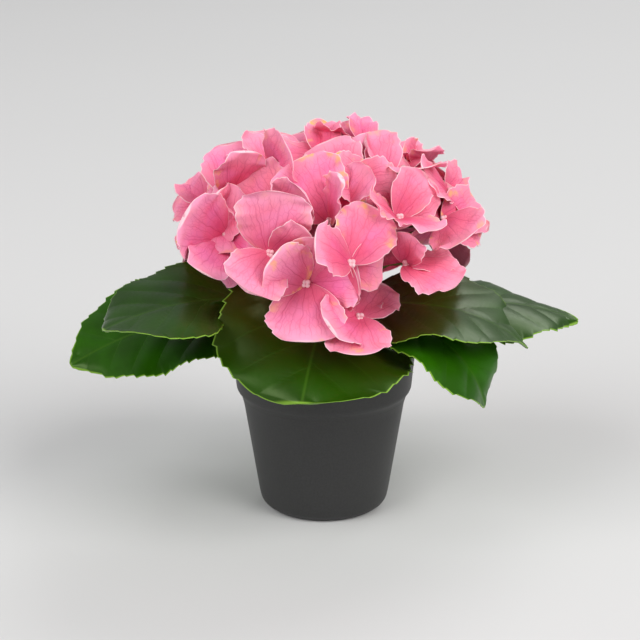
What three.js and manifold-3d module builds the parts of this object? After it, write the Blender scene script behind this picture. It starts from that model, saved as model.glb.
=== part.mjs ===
// An artificial hydrangea in a small plastic pot: one round flower head of four-petalled cloth
// florets over a whorl of broad toothed leaves.  Millimetres, +Z up, origin at the centre of the
// pot's flat underside, the fuller side of the flower head towards -Y.

import * as THREE from 'three';
import { mergeVertices } from 'three/addons/utils/BufferGeometryUtils.js';
import Module from 'manifold-3d';

const wasm = await Module();
wasm.setup();

// ---- driving dimensions -------------------------------------------------------------------

const GAP = 0.3;                  // clearance between two pieces that carry each other

const POT = {
  rimRadius: 45,                  // a 9 cm pot
  height: 79.5,
  collarHeight: 18.3,
  collarFootRadius: 43.3,
  shoulder: 3.9,                  // chamfer under the collar
  bodyRadius: 40.4,
  footRadius: 31.2,
  footRound: 4.5,
  wall: 1.6,
  lip: 0.8,                       // height of the bevel round the rim
  floor: 2.4,
  sides: 32,
};
const FILL = { top: 71, dome: 2.5, bevel: 2 };
const STEM = { foot: 58, sides: 14, footRadius: 4.4, neckRadius: 3.2, neck: 97, headRadius: 5.2 };
const HEAD = new THREE.Vector3(1, 0, 107);        // the knuckle that the boughs spring from
const CROWN = new THREE.Vector3(3, 0, 130);       // middle of the flower head
const BOUGH = { baseRadius: 1.7, tipRadius: 1.1, ends: 0.44, forks: 0.6 };
const TWIG = { radius: 1.4, bend: 9, proud: 2, steps: 3 };

const PETAL = {
  thick: 0.9,                     // at its middle; the margin is sharp
  step: 0.75,                     // each petal of a floret lies this much over the one below it
  claw: 1.6,                      // width at the floret's heart
  rise: 0.62,                     // how the outline swells from the heart
  fall: 0.36,                     // and how it closes at the tip
  rows: [-0.04, 0.32, 0.72, 0.965],
};
const LEAF = { thick: 1.15, claw: 3, stations: 22, tooth: 1.5, columns: 4 };
const STALK = { baseRadius: 2.2, tipRadius: 1.2 };

// Leaves: heading of the stalk and how far the midrib turns from it, pitch at the stalk and at the
// tip, how late it bends, roll at both ends (all in degrees), blade length and width, how slowly
// the outline swells from the stalk and closes at the tip, arch across the blade, height of the
// stalk's foot and its length.
const LEAVES = {
  leaf_front: {
    heading: -92, turn: -11, pitch: [16, -38], bend: 0.8, roll: [-30, 1],
    size: [72, 91], swell: [0.6, 0.5], arch: 4, foot: 100, stalk: 14,
  },
  leaf_left_upper: {
    heading: 214, turn: -11.5, pitch: [34, -21.4], bend: 1, roll: [-24, 8],
    size: [104, 90], swell: [0.8, 0.55], arch: 4, foot: 94, stalk: 18,
  },
  leaf_right_upper: {
    heading: -19, turn: 4, pitch: [15, -39], bend: 1.6, roll: [17, -8],
    size: [89, 92], swell: [0.6, 0.8], arch: 2, foot: 100, stalk: 18,
  },
  leaf_right_small: {
    heading: -34, turn: 5, pitch: [19, -82], bend: 1.7, roll: [-1, -1],
    size: [92, 66], swell: [1, 0.75], arch: 2, foot: 94, stalk: 16,
  },
  leaf_left_lower: {
    heading: 177, turn: 21, pitch: [17, -29], bend: 0.8, roll: [-3, -26],
    size: [112, 78], swell: [0.6, 0.7], arch: 2, foot: 95, stalk: 18,
  },
  leaf_right_back: {
    heading: 6, turn: 1, pitch: [22, -25.2], bend: 1.2, roll: [14, 0],
    size: [114, 76], swell: [1, 0.9], arch: 20, foot: 88, stalk: 18,
  },
  leaf_back_left: {
    heading: 122, turn: 6, pitch: [10, -34], bend: 1.2, roll: [0, 0],
    size: [98, 80], swell: [0.6, 0.85], arch: 12, foot: 100, stalk: 18,
  },
  leaf_back_right: {
    heading: 68, turn: -4, pitch: [10, -40], bend: 1.2, roll: [0, 0],
    size: [98, 80], swell: [0.6, 0.85], arch: 12, foot: 90, stalk: 18,
  },
};

const COLOURS = {
  pot: 0x3a3a39, fill: 0x2b221b, stem: 0x4c5a2c, bough: 0x55602f, leaf: 0x284814, bloom: 0xf78fae,
};

// ---- florets ------------------------------------------------------------------------------

// The florets of the fuller side, mass by mass.  Each has its seat, the heading and height its
// face looks to, and its petals, each with its place round the face, lift from the face and curl
// along it (degrees), length, width, cup across it and roll about its own length (degrees).
const FLORETS = {
  mass_front: [
    { seat: [-8, -60, 132], face: [-98, 8], petals: [
      [136, 46, -8, 25, 28, 8, 11], [74, 22, -8, 24, 29, 10, 26],
      [-86, 24, 6, 28, 36, 4, -9],
    ] },
    { seat: [12, -66, 143], face: [-80, 16], petals: [
      [60, -10, -4, 29, 29, 8, -5], [149, 37, -10, 25, 26, 10, 38],
      [-113, -52, -12, 25, 28, 8, 36], [-2, -37, -10, 24, 26, 8, 10],
    ] },
    { seat: [16, -56, 115], face: [-76, -2], petals: [
      [171, 49, -8, 25, 28, 8, 54], [28, -46, -8, 27, 28, 8, -42],
      [-124, 62, 4, 27, 30, 6, 37],
    ] },
    { seat: [37, -46, 137], face: [-56, 16], petals: [
      [105, 44, -4, 20, 19, 12, -73], [-55, 61, -6, 29, 31, 10, -20],
      [-8, 19, -4, 27, 25, 12, -62],
    ] },
    { seat: [34, -43, 158], face: [-54, 22], petals: [
      [51, -16, -6, 28, 30, 12, -35], [-87, 73, -8, 27, 21, 10, -5],
      [146, 18, -6, 21, 20, 10, 42],
    ] },
  ],
  mass_front_top: [
    { seat: [-24, -57, 145], face: [-112, 16], petals: [
      [82, 25, -8, 31, 35, 6, 24], [-95, 52, -8, 27, 30, 8, -30],
      [29, 10, -6, 22, 22, 8, 36],
    ] },
    { seat: [-21, -37, 159], face: [-120, 10], petals: [
      [148, -8, -8, 28, 33, 8, 20], [33, 23, -6, 23, 25, 8, 16],
    ] },
    { seat: [3, -41, 156], face: [-98, 12], petals: [
      [121, 0, -10, 33, 36, 8, 16], [57, -1, -8, 31, 26, 12, -47],
      [77, 30, -6, 24, 24, 14, -60],
    ] },
    { seat: [9, -29, 171], face: [-84, 26], petals: [
      [104, -23, -6, 27, 29, -4, -11], [-8, 8, -8, 25, 28, 10, 0],
      [-179, 8, -6, 25, 27, 8, 0],
    ] },
  ],
  mass_left: [
    { seat: [-46, -30, 146], face: [-136, 12], petals: [
      [82, 76, -6, 28, 34, 10, 90], [-54, 49, -4, 28, 25, 8, -72],
      [87, 8, -8, 25, 29, 10, 0], [-38, 8, -6, 25, 29, 6, 0],
    ] },
    { seat: [-44, -20, 153], face: [-128, 22], petals: [
      [77, 65, 6, 18, 21, -10, 75], [-46, 22, -6, 24, 28, 8, -47],
      [16, 8, -6, 24, 27, 8, 0], [-132, 8, -6, 22, 26, 8, 0],
    ] },
    { seat: [-43, -18, 163], face: [-140, 30], petals: [
      [159, 2, -6, 24, 25, 6, -7], [55, 31, -6, 26, 26, 8, 95],
      [128, 6, -8, 28, 27, 8, 31],
    ] },
    { seat: [-57, -2, 154], face: [-168, 26], petals: [
      [-174, 18, -6, 24, 28, 6, 7], [164, 5, -8, 26, 29, 6, 59],
      [-77, 8, -6, 25, 28, 8, 0], [-97, 8, -6, 25, 28, 8, 0],
    ] },
  ],
  mass_top: [
    { seat: [-25, -12, 172], face: [-116, 60], petals: [
      [133, 21, -6, 25, 18, 16, 38], [106, 7, -6, 27, 30, 6, 21],
      [-20, 47, 0, 28, 32, 8, 70],
    ] },
    { seat: [-1, -4, 178], face: [-98, 72], petals: [
      [113, 4, -6, 27, 31, 6, -21], [81, 3, -8, 27, 30, 6, 28],
      [-168, 8, -6, 25, 28, 6, 0], [-3, 8, -6, 25, 28, 6, 0],
    ] },
    { seat: [19, 14, 178], face: [50, 60], petals: [
      [-27, 36, 4, 25, 20, 16, -40], [-60, 36, -8, 27, 30, 6, 22],
      [-139, 8, -8, 26, 28, 6, 0], [41, 8, -8, 26, 30, 6, 0],
    ] },
    { seat: [25, -26, 169], face: [-62, 44], petals: [
      [84, 2, -8, 30, 33, 6, -29], [43, -7, -8, 28, 31, 8, 13],
      [-84, 8, -4, 25, 28, 14, 0],
    ] },
  ],
  mass_right: [
    { seat: [55, -28, 153], face: [-40, 26], petals: [
      [24, -5, -8, 27, 31, 10, -30], [-136, 53, -8, 27, 29, 10, 75],
      [-6, 3, -8, 28, 31, 8, 0], [-34, -53, -8, 26, 28, 8, 75],
    ] },
    { seat: [59, -8, 161], face: [-12, 40], petals: [
      [18, -6, -8, 25, 28, 8, -45], [-12, 8, -8, 27, 29, 6, 17],
      [-83, 8, -6, 26, 30, 8, 0], [139, 8, -6, 25, 28, 6, 0],
    ] },
    { seat: [45, 18, 166], face: [30, 34], petals: [
      [143, 12, -8, 23, 19, 20, 60], [121, -10, -8, 22, 24, 16, -60],
      [-125, 8, -8, 26, 28, 10, 0], [-63, 8, -8, 26, 28, 8, 0],
    ] },
    { seat: [37, -4, 171], face: [-24, 48], petals: [
      [37, -3, -8, 28, 31, 6, -40], [-156, 41, -6, 27, 30, 8, 40],
      [-85, 8, -8, 26, 28, 6, 0], [124, 8, -8, 25, 27, 6, 0],
    ] },
  ],
};

// The other side is even: rows of florets round the crown, dealt out to three masses by heading.
const BACK_ROWS = [
  { height: 6, from: 32, to: 154, count: 5 },
  { height: 38, from: 42, to: 148, count: 3 },
  { height: 68, from: 94, to: 94, count: 1 },
];
const BACK_MASSES = [['mass_back_right', 72], ['mass_back', 110], ['mass_back_left', 180]];
const BACK = { reach: 61, squash: 0.74, lift: 16, curl: -8, length: 27, width: 31, cup: 10, seed: 13 };

// ---- small tools --------------------------------------------------------------------------

const rad = THREE.MathUtils.degToRad;
const UP = new THREE.Vector3(0, 0, 1);

// Even numbers from 0 to 1, the same every run.
function seeded(seed) {
  let state = seed >>> 0;
  return () => {
    state = (Math.imul(state, 1664525) + 1013904223) >>> 0;
    return state / 4294967296;
  };
}

// Unit vector of a heading (from +X towards +Y) and a height above the horizon, in degrees.
function direction(heading, height) {
  const level = Math.cos(rad(height));
  return new THREE.Vector3(
    level * Math.cos(rad(heading)),
    level * Math.sin(rad(heading)),
    Math.sin(rad(height)),
  );
}

function toSolid(geometry) {
  const bare = geometry.clone();
  bare.deleteAttribute('normal');
  bare.deleteAttribute('uv');
  const merged = mergeVertices(bare, 1e-4);
  return new wasm.Manifold(new wasm.Mesh({
    numProp: 3,
    vertProperties: new Float32Array(merged.attributes.position.array),
    triVerts: new Uint32Array(merged.index.array),
  }));
}

function toGeometry(solid) {
  const mesh = solid.getMesh();
  const geometry = new THREE.BufferGeometry();
  geometry.setAttribute('position', new THREE.BufferAttribute(new Float32Array(mesh.vertProperties), 3));
  geometry.setIndex(new THREE.BufferAttribute(new Uint32Array(mesh.triVerts), 1));
  geometry.computeVertexNormals();
  return geometry;
}

function joined(solids) {
  return solids.reduce((whole, solid) => whole.add(solid));
}

// The largest separate piece, so that a scrap cut loose is dropped.
function largest(solid) {
  const pieces = solid.decompose();
  return pieces.reduce((best, piece) => (piece.volume() > best.volume() ? piece : best));
}

// A plate from a grid of points, rows along it and columns across it, thickened evenly to both
// sides along the grid's own normals and closed round its margin.
function plate(rows, thick) {
  const columns = rows[0].length;
  const count = rows.length * columns;
  const at = (i, j) => i * columns + j;
  const positions = [];
  for (const side of [1, -1]) {
    rows.forEach((row, i) => row.forEach((point, j) => {
      const along = new THREE.Vector3().subVectors(
        rows[Math.min(i + 1, rows.length - 1)][j], rows[Math.max(i - 1, 0)][j]);
      const across = new THREE.Vector3().subVectors(
        row[Math.min(j + 1, columns - 1)], row[Math.max(j - 1, 0)]);
      const normal = along.cross(across).normalize();
      positions.push(...point.clone().addScaledVector(normal, side * thick / 2).toArray());
    }));
  }
  const faces = [];
  for (let i = 0; i + 1 < rows.length; i += 1) {
    for (let j = 0; j + 1 < columns; j += 1) {
      const [a, b, c, d] = [at(i, j), at(i + 1, j), at(i + 1, j + 1), at(i, j + 1)];
      faces.push(a, b, c, a, c, d);
      faces.push(count + a, count + c, count + b, count + a, count + d, count + c);
    }
  }
  const margin = [];
  for (let i = 0; i + 1 < rows.length; i += 1) margin.push(at(i, 0));
  for (let j = 0; j + 1 < columns; j += 1) margin.push(at(rows.length - 1, j));
  for (let i = rows.length - 1; i > 0; i -= 1) margin.push(at(i, columns - 1));
  for (let j = columns - 1; j > 0; j -= 1) margin.push(at(0, j));
  margin.forEach((a, k) => {
    const b = margin[(k + 1) % margin.length];
    faces.push(a, count + a, count + b, a, count + b, b);
  });
  const geometry = new THREE.BufferGeometry();
  geometry.setAttribute('position', new THREE.Float32BufferAttribute(positions, 3));
  geometry.setIndex(faces);
  return toSolid(geometry);
}

// A blade from the outline of the grid's rows, drawn up to one point on each side; its margin is
// sharp where the rim is 0 and else a wall of the rim's height.
function lens(rows, thick, rim) {
  const left = rows.map((points) => points[0]);
  const right = rows.map((points) => points[points.length - 1]);
  const root = left.shift().clone().lerp(right.shift(), 0.5);
  const ring = [root, ...left, ...right.reverse()];
  const waist = rows[Math.floor(rows.length / 2)];
  const middle = waist[Math.floor(waist.length / 2)];
  const across = new THREE.Vector3().subVectors(waist[waist.length - 1], waist[0]);
  const along = new THREE.Vector3().subVectors(left[left.length - 1], root);
  const normal = along.cross(across).normalize();
  const raised = (points, height) => points.map((point) => point.clone().addScaledVector(normal, height));
  const count = ring.length;
  const lower = rim > 0 ? count : 0;
  const points = [...raised(ring, rim / 2), ...(rim > 0 ? raised(ring, -rim / 2) : [])];
  const top = points.length;
  points.push(...raised([middle], thick / 2), ...raised([middle], -thick / 2));
  const faces = [];
  ring.forEach((point, a) => {
    const b = (a + 1) % count;
    faces.push(top, a, b, top + 1, lower + b, lower + a);
    if (rim > 0) faces.push(a, lower + a, lower + b, a, lower + b, b);
  });
  const geometry = new THREE.BufferGeometry();
  const positions = points.flatMap((point) => point.toArray());
  geometry.setAttribute('position', new THREE.Float32BufferAttribute(positions, 3));
  geometry.setIndex(faces);
  return toSolid(geometry);
}

// A straight tapering limb between two points.
function limb(start, end, startRadius, endRadius, sides) {
  const axis = new THREE.Vector3().subVectors(end, start);
  const geometry = new THREE.CylinderGeometry(endRadius, startRadius, axis.length(), sides);
  geometry.rotateX(Math.PI / 2);
  geometry.applyQuaternion(new THREE.Quaternion().setFromUnitVectors(UP, axis.clone().normalize()));
  const middle = start.clone().lerp(end, 0.5);
  geometry.translate(middle.x, middle.y, middle.z);
  return toSolid(geometry);
}

// A thin shoot of even thickness along a smooth curve through the points.
function shoot(points, radius, sides) {
  const section = new THREE.Shape();
  for (let k = 0; k < sides; k += 1) {
    const turn = (2 * Math.PI * k) / sides;
    const [x, y] = [radius * Math.cos(turn), radius * Math.sin(turn)];
    if (k === 0) section.moveTo(x, y);
    else section.lineTo(x, y);
  }
  section.closePath();
  const extrudePath = new THREE.CatmullRomCurve3(points);
  return toSolid(new THREE.ExtrudeGeometry(section, { steps: TWIG.steps, extrudePath, bevelEnabled: false }));
}

// Half-width of a blade along its length, 0 at the root and the tip and 1 at its widest.
function outline(v, rise, fall) {
  const widest = rise / (rise + fall);
  const shape = (t) => t ** rise * (1 - t) ** fall;
  return shape(THREE.MathUtils.clamp(v, 0, 1)) / shape(widest);
}

// One row of points across a blade: an arc of the given half-width and arch, raised along the
// normal at its margins for a cup and lowered for an arch.
function row(middle, side, normal, half, bow, columns) {
  const points = [];
  const turn = rad(Math.abs(bow) < 0.1 ? 0.1 : bow);
  for (let j = 0; j < columns; j += 1) {
    const u = (2 * j) / (columns - 1) - 1;
    points.push(middle.clone()
      .addScaledVector(side, (half * Math.sin(turn * u)) / turn)
      .addScaledVector(normal, (half * (1 - Math.cos(turn * u))) / turn));
  }
  return points;
}

// ---- pot, fill and stem -------------------------------------------------------------------

function lathe(profile, sides) {
  const points = profile.map(([radius, height]) => new THREE.Vector2(radius, height));
  const geometry = new THREE.LatheGeometry(points, sides);
  geometry.rotateX(Math.PI / 2);
  return toSolid(geometry);
}

function potWallRadius(height) {
  const climb = POT.height - POT.collarHeight - POT.shoulder;
  return THREE.MathUtils.mapLinear(height, 0, climb, POT.footRadius, POT.bodyRadius);
}

function makePot() {
  const { rimRadius, height, collarHeight, collarFootRadius, shoulder, wall, lip, floor, footRound } = POT;
  const collarFoot = height - collarHeight;
  const climb = collarFoot - shoulder;
  const inner = (at) => potWallRadius(at) - wall;
  return lathe([
    [0, 0], [POT.footRadius - footRound, 0], [POT.footRadius - footRound * 0.3, footRound * 0.3],
    [potWallRadius(footRound), footRound], [POT.bodyRadius, climb], [collarFootRadius, collarFoot],
    [rimRadius, height - lip], [rimRadius - lip / 2, height], [rimRadius - wall - lip / 2, height],
    [collarFootRadius - wall, collarFoot], [inner(climb), climb], [inner(floor), floor], [0, floor],
    [0, 0],
  ], POT.sides);
}

function makeFill() {
  const foot = POT.floor + GAP;
  const clear = POT.wall + GAP;
  const climb = POT.height - POT.collarHeight - POT.shoulder;
  const flank = THREE.MathUtils.mapLinear(
    FILL.top, POT.height - POT.collarHeight, POT.height, POT.collarFootRadius, POT.rimRadius);
  const body = lathe([
    [0, foot], [potWallRadius(foot) - clear, foot], [potWallRadius(climb) - clear, climb],
    [POT.collarFootRadius - clear - 0.2, POT.height - POT.collarHeight],
    [flank - clear - 0.6, FILL.top - FILL.bevel], [flank - clear - FILL.bevel, FILL.top],
    [STEM.footRadius * 2, FILL.top + FILL.dome], [0, FILL.top + FILL.dome],
    [0, foot],
  ], POT.sides);
  const socketRadius = STEM.footRadius + GAP;
  const socket = limb(
    new THREE.Vector3(0, 0, STEM.foot - GAP), new THREE.Vector3(0, 0, FILL.top + 2 * FILL.dome),
    socketRadius, socketRadius, STEM.sides);
  return body.subtract(socket);
}

function makeStem(grow) {
  return lathe([
    [0, STEM.foot], [STEM.footRadius + grow, STEM.foot], [STEM.footRadius + grow, FILL.top],
    [STEM.neckRadius + grow, STEM.neck - grow], [STEM.headRadius + grow, HEAD.z - grow],
    [STEM.headRadius + grow, HEAD.z + 1], [STEM.headRadius / 2, HEAD.z + 4 + grow], [0, HEAD.z + 4 + grow],
    [0, STEM.foot],
  ], STEM.sides);
}

// ---- leaves -------------------------------------------------------------------------------

// The midrib is carried from the stem outwards with its pitch and heading changing along it; each
// station of the blade is a row across it, and every other station stands out as a tooth.
function leafRows(leaf, extra) {
  const [pitchFoot, pitchTip] = leaf.pitch;
  const [rollFoot, rollTip] = leaf.roll;
  const [length, width] = leaf.size;
  const total = leaf.stalk + length;
  const steps = 200;
  const path = [];
  const point = new THREE.Vector3(0, 0, leaf.foot);
  for (let k = 0; k <= steps; k += 1) {
    const s = k / steps;
    const pitch = pitchFoot + (pitchTip - pitchFoot) * s ** leaf.bend;
    const heading = leaf.heading + leaf.turn * s;
    const along = direction(heading, pitch);
    const left = direction(heading + 90, 0);
    const up = along.clone().cross(left);
    const roll = rad(rollFoot + (rollTip - rollFoot) * s);
    const side = left.clone().multiplyScalar(Math.cos(roll)).addScaledVector(up, Math.sin(roll));
    path.push({ point: point.clone(), side, up: along.clone().cross(side) });
    point.addScaledVector(along, total / steps);
  }
  const rows = [];
  for (let i = 0; i <= LEAF.stations; i += 1) {
    const v = 0.985 * (i / LEAF.stations);
    const here = path[Math.round(((leaf.stalk + length * v) / total) * steps)];
    const tooth = i % 2 === 1 && i > 2 ? LEAF.tooth : 0;
    const half = (width / 2) * outline(v, ...leaf.swell) + LEAF.claw / 2 + tooth + extra;
    rows.push(row(here.point, here.side, here.up, half, -leaf.arch, LEAF.columns));
  }
  const startAt = Math.round(((STEM.neckRadius + 1.2) / total) * steps);
  return { rows, start: path[startAt].point, root: rows[1][1].clone().lerp(rows[1][2], 0.5) };
}

function makeLeaf(leaf, grow) {
  const { rows, start, root } = leafRows(leaf, grow);
  const blade = plate(rows, LEAF.thick + 2 * grow);
  const stalk = limb(start, root, STALK.baseRadius + grow, STALK.tipRadius + grow, 6);
  return blade.add(stalk);
}

// ---- petals, florets and masses -----------------------------------------------------------

// A petal starts at the floret's heart, leaves the face at its lift, curls along its length and
// is cupped across it.
function makePetal(seat, face, [place, lift, curl, length, width, cup, roll], step, grow) {
  const out = direction(...face);
  const right = direction(face[0] + 90, 0);
  const up = out.clone().cross(right);
  const along = right.clone().multiplyScalar(Math.cos(rad(place))).addScaledVector(up, Math.sin(rad(place)));
  const side = right.clone().multiplyScalar(-Math.sin(rad(place))).addScaledVector(up, Math.cos(rad(place)));
  const rows = PETAL.rows.map((v) => {
    const angle = rad(lift + (curl * v) / 2);
    const here = rad(lift + curl * v);
    const reach = (length + 3 * grow) * v;
    const middle = seat.clone()
      .addScaledVector(along, reach * Math.cos(angle) - grow)
      .addScaledVector(out, reach * Math.sin(angle) + step);
    const level = along.clone().multiplyScalar(-Math.sin(here)).addScaledVector(out, Math.cos(here));
    const across = side.clone().multiplyScalar(Math.cos(rad(roll))).addScaledVector(level, Math.sin(rad(roll)));
    const normal = level.clone().multiplyScalar(Math.cos(rad(roll))).addScaledVector(side, -Math.sin(rad(roll)));
    const half = (width / 2) * outline(v, PETAL.rise, PETAL.fall) + (PETAL.claw / 2) * (1 - v) + 2 * grow;
    return row(middle, across, normal, half, cup, 3);
  });
  return lens(rows, PETAL.thick + 2 * grow, 2 * grow);
}

function backFlorets() {
  const random = seeded(BACK.seed);
  const spread = (size) => (random() * 2 - 1) * size;
  const found = Object.fromEntries(BACK_MASSES.map(([name]) => [name, []]));
  for (const { height, from, to, count } of BACK_ROWS) {
    for (let k = 0; k < count; k += 1) {
      const heading = from + ((to - from) * k) / Math.max(count - 1, 1) + spread(5);
      const rise = height + spread(5);
      const way = direction(heading, rise).multiplyScalar(BACK.reach + spread(3));
      way.z *= BACK.squash;
      const seat = CROWN.clone().add(way);
      const turn = spread(45);
      const petals = [0, 90, 180, 270].map((place) => [
        place + turn + spread(8), BACK.lift + spread(12), BACK.curl + spread(10),
        BACK.length + spread(2), BACK.width + spread(3), BACK.cup + spread(12), 0,
      ]);
      const [name] = BACK_MASSES.find(([, upTo]) => heading < upTo);
      found[name].push({ seat: seat.toArray(), face: [heading, rise + 6], petals });
    }
  }
  return found;
}

// The limbs that carry one mass: the bough from the stem's knuckle, then the mass's own stem, and
// from its end one bent twig to each floret.
function framework(florets) {
  const seats = florets.map(({ seat }) => new THREE.Vector3(...seat));
  const middle = seats.reduce((sum, seat) => sum.add(seat), new THREE.Vector3()).divideScalar(seats.length);
  const heading = new THREE.Vector3().subVectors(middle, HEAD);
  const distance = heading.length();
  heading.normalize();
  const at = (along) => HEAD.clone().addScaledVector(heading, along);
  const fork = at(distance * BOUGH.forks);
  return {
    boughStart: at(STEM.headRadius + GAP + 0.6),
    boughEnd: at(distance * BOUGH.ends),
    stemStart: at(distance * BOUGH.ends + GAP),
    fork,
    twigs: florets.map(({ face }, k) => ({
      bend: seats[k].clone().addScaledVector(direction(...face), -TWIG.bend),
      heart: seats[k].clone().addScaledVector(direction(...face), TWIG.proud),
    })),
  };
}

function makeTwigs(frame, grow) {
  const thick = TWIG.radius + grow;
  const stem = limb(frame.stemStart, frame.fork, BOUGH.tipRadius + grow, thick, 4);
  return [stem, ...frame.twigs.map(({ bend, heart }) => shoot([frame.fork, bend, heart], thick, 3))];
}

// The petals of a floret lie over one another, the one that lifts most in front.
function makeBlossom(florets, grow) {
  return florets.flatMap(({ seat, face, petals }) => {
    const heart = new THREE.Vector3(...seat);
    const byLift = [...petals].sort((a, b) => a[1] - b[1]);
    return byLift.map((petal, k) => (
      makePetal(heart, face, petal, (k - (petals.length - 1) / 2) * PETAL.step, grow)));
  });
}

// ---- the whole plant ----------------------------------------------------------------------

const model = new THREE.Group();

function addPiece(name, solid, colour, roughness) {
  const material = new THREE.MeshStandardMaterial({ color: colour, roughness, metalness: 0 });
  const mesh = new THREE.Mesh(toGeometry(solid), material);
  mesh.name = name;
  model.add(mesh);
}

const pot = makePot();
const stem = makeStem(0);
addPiece('pot', pot, COLOURS.pot, 0.6);
addPiece('fill', makeFill(), COLOURS.fill, 0.95);
addPiece('stem', stem, COLOURS.stem, 0.6);

// Leaves further down the list give way to those above them.
const clearStem = makeStem(GAP);
let leafSpace = null;
for (const [name, leaf] of Object.entries(LEAVES)) {
  let solid = makeLeaf(leaf, 0).subtract(clearStem);
  if (leafSpace) solid = solid.subtract(leafSpace);
  addPiece(name, largest(solid), COLOURS.leaf, 0.45);
  const guard = makeLeaf(leaf, GAP);
  leafSpace = leafSpace ? leafSpace.add(guard) : guard;
}

// Limbs come first; then each mass keeps clear of the limbs of all and the blossom before it.
const masses = { ...FLORETS, ...backFlorets() };
const frames = Object.fromEntries(
  Object.entries(masses).map(([name, florets]) => [name, framework(florets)]));
let limbSpace = clearStem;
for (const [name, frame] of Object.entries(frames)) {
  const bough = limb(frame.boughStart, frame.boughEnd, BOUGH.baseRadius, BOUGH.tipRadius, 6);
  addPiece(name.replace('mass', 'bough'), bough, COLOURS.bough, 0.6);
  limbSpace = limbSpace.add(
    limb(frame.boughStart, frame.boughEnd, BOUGH.baseRadius + GAP, BOUGH.tipRadius + GAP, 6));
}
let taken = limbSpace.add(leafSpace);
for (const [name, florets] of Object.entries(masses)) {
  let blossom = joined(makeBlossom(florets, 0)).subtract(taken);
  for (const [other, frame] of Object.entries(frames)) {
    if (other !== name) blossom = blossom.subtract(joined(makeTwigs(frame, GAP)));
  }
  const mass = blossom.add(joined(makeTwigs(frames[name], 0)));
  addPiece(name, largest(mass), COLOURS.bloom, 0.7);
  taken = taken.add(joined(makeBlossom(florets, GAP)));
}

export default model;
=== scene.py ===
"""An artificial hydrangea in a small plastic pot, dressed over its CAD frame.

Cloth florets on wired twigs, toothed cloth leaves, a moulded pot with its plug, and a studio
floor.  Sizes in the tables are millimetres and degrees; meshes are in metres, +Z up, with the
origin at the centre of the pot's underside."""

from collections import namedtuple

import bpy
import numpy as np
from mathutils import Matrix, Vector


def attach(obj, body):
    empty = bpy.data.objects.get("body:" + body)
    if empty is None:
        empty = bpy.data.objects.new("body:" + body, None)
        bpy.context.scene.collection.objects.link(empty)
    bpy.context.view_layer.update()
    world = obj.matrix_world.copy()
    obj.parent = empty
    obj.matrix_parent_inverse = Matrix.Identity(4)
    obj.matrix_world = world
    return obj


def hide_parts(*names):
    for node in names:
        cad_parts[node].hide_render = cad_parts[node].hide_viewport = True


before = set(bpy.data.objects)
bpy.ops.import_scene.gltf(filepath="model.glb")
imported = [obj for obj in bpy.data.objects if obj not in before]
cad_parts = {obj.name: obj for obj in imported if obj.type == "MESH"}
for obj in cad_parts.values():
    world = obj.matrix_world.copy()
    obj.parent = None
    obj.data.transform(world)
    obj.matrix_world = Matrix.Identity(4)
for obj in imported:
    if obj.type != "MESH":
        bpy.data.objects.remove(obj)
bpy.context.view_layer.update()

bl_info = {
    "name": "Potted hydrangea",
    "version": (1, 0, 0),
    "blender": (4, 5, 0),
    "location": "3D View > Sidebar > Hydrangea",
    "description": "Builds an artificial hydrangea in a plastic pot, piece by piece",
    "category": "Add Mesh",
}

MM = 0.001

# ---- driving sizes ----

# The pot's outer radii at its rim, at its collar's foot, under its shoulder and at its foot; the
# heights of the whole, the collar and the shoulder; its wall and floor, the recess under it and
# the rounding of its corners.
POT = {"rim": 45.0, "collar_foot": 43.3, "body": 40.4, "foot": 31.2, "height": 79.5, "collar": 18.3,
       "shoulder": 3.9, "wall": 1.6, "floor": 2.4, "recess": 1.2, "corner": 2.2}
FILL_TOP = 71.0
FILL_DEPTH = 14.0
FILL_GAP = 4.2  # from the rim's outer radius to the plug's

# The stem as (height, radius), up to the knuckle that the boughs spring from.
STEM = np.array([(58.0, 4.3), (FILL_TOP, 4.2), (97.0, 3.2), (104.0, 4.7), (107.0, 5.2), (111.5, 1.2)])
HEAD = np.array([1.0, 0.0, 107.0])
CROWN = np.array([3.0, 0.0, 130.0])

# A mass's bough starts this far from the head and ends at the first share of the way to the
# middle of the mass's seats; its twigs part at the second, and reach their seats from behind.
BOUGH_START = 4.0
BOUGH_END = 0.44
FORK = 0.6
TWIG_BEND = 9.0

# The beads of a heart: how many, their radius, the radius they stand on and their rise.
BEADS = 4
BEAD_RADIUS = 1.2
BEAD_CIRCLE = 1.15
BEAD_RISE = 2.0

PETAL_THICK = 0.55
PETAL_STEP = 0.75  # each petal of a floret lies this much over the one below it
PETAL_CLAW = 1.6  # width at the floret's heart
PETAL_OUTLINE = (0.62, 0.36)
PETAL_ROWS = 30
PETAL_RING = 44
# The notches of a petal's margin: depth, how many to a side, and which of its phases they take.
NOTCHES = ((0.05, 2.5, 0), (0.036, 6, 1), (0.026, 11, 4))
PETAL_SWELL = 0.35  # how far the blade swells either way
PETAL_CREASE = (0.55, 1.6)  # depth and half-width of the crease along its middle
TIP_BEND = 1.1

LEAF_THICK = 1.1
LEAF_ROWS = 190
LEAF_RING = 76
MIDRIB_STEPS = 200
TOOTH_PITCH = 5.0
VEIN_PITCH = 17.0
VEIN_SLANT = 0.75
LEAF_GROOVE = (1.0, 1.5)  # depth and half-width of the groove along the midrib
LEAF_VALLEY = 3.2  # how far the blade stands over its midrib towards the margins
LEAF_WAVE = 1.7

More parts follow.
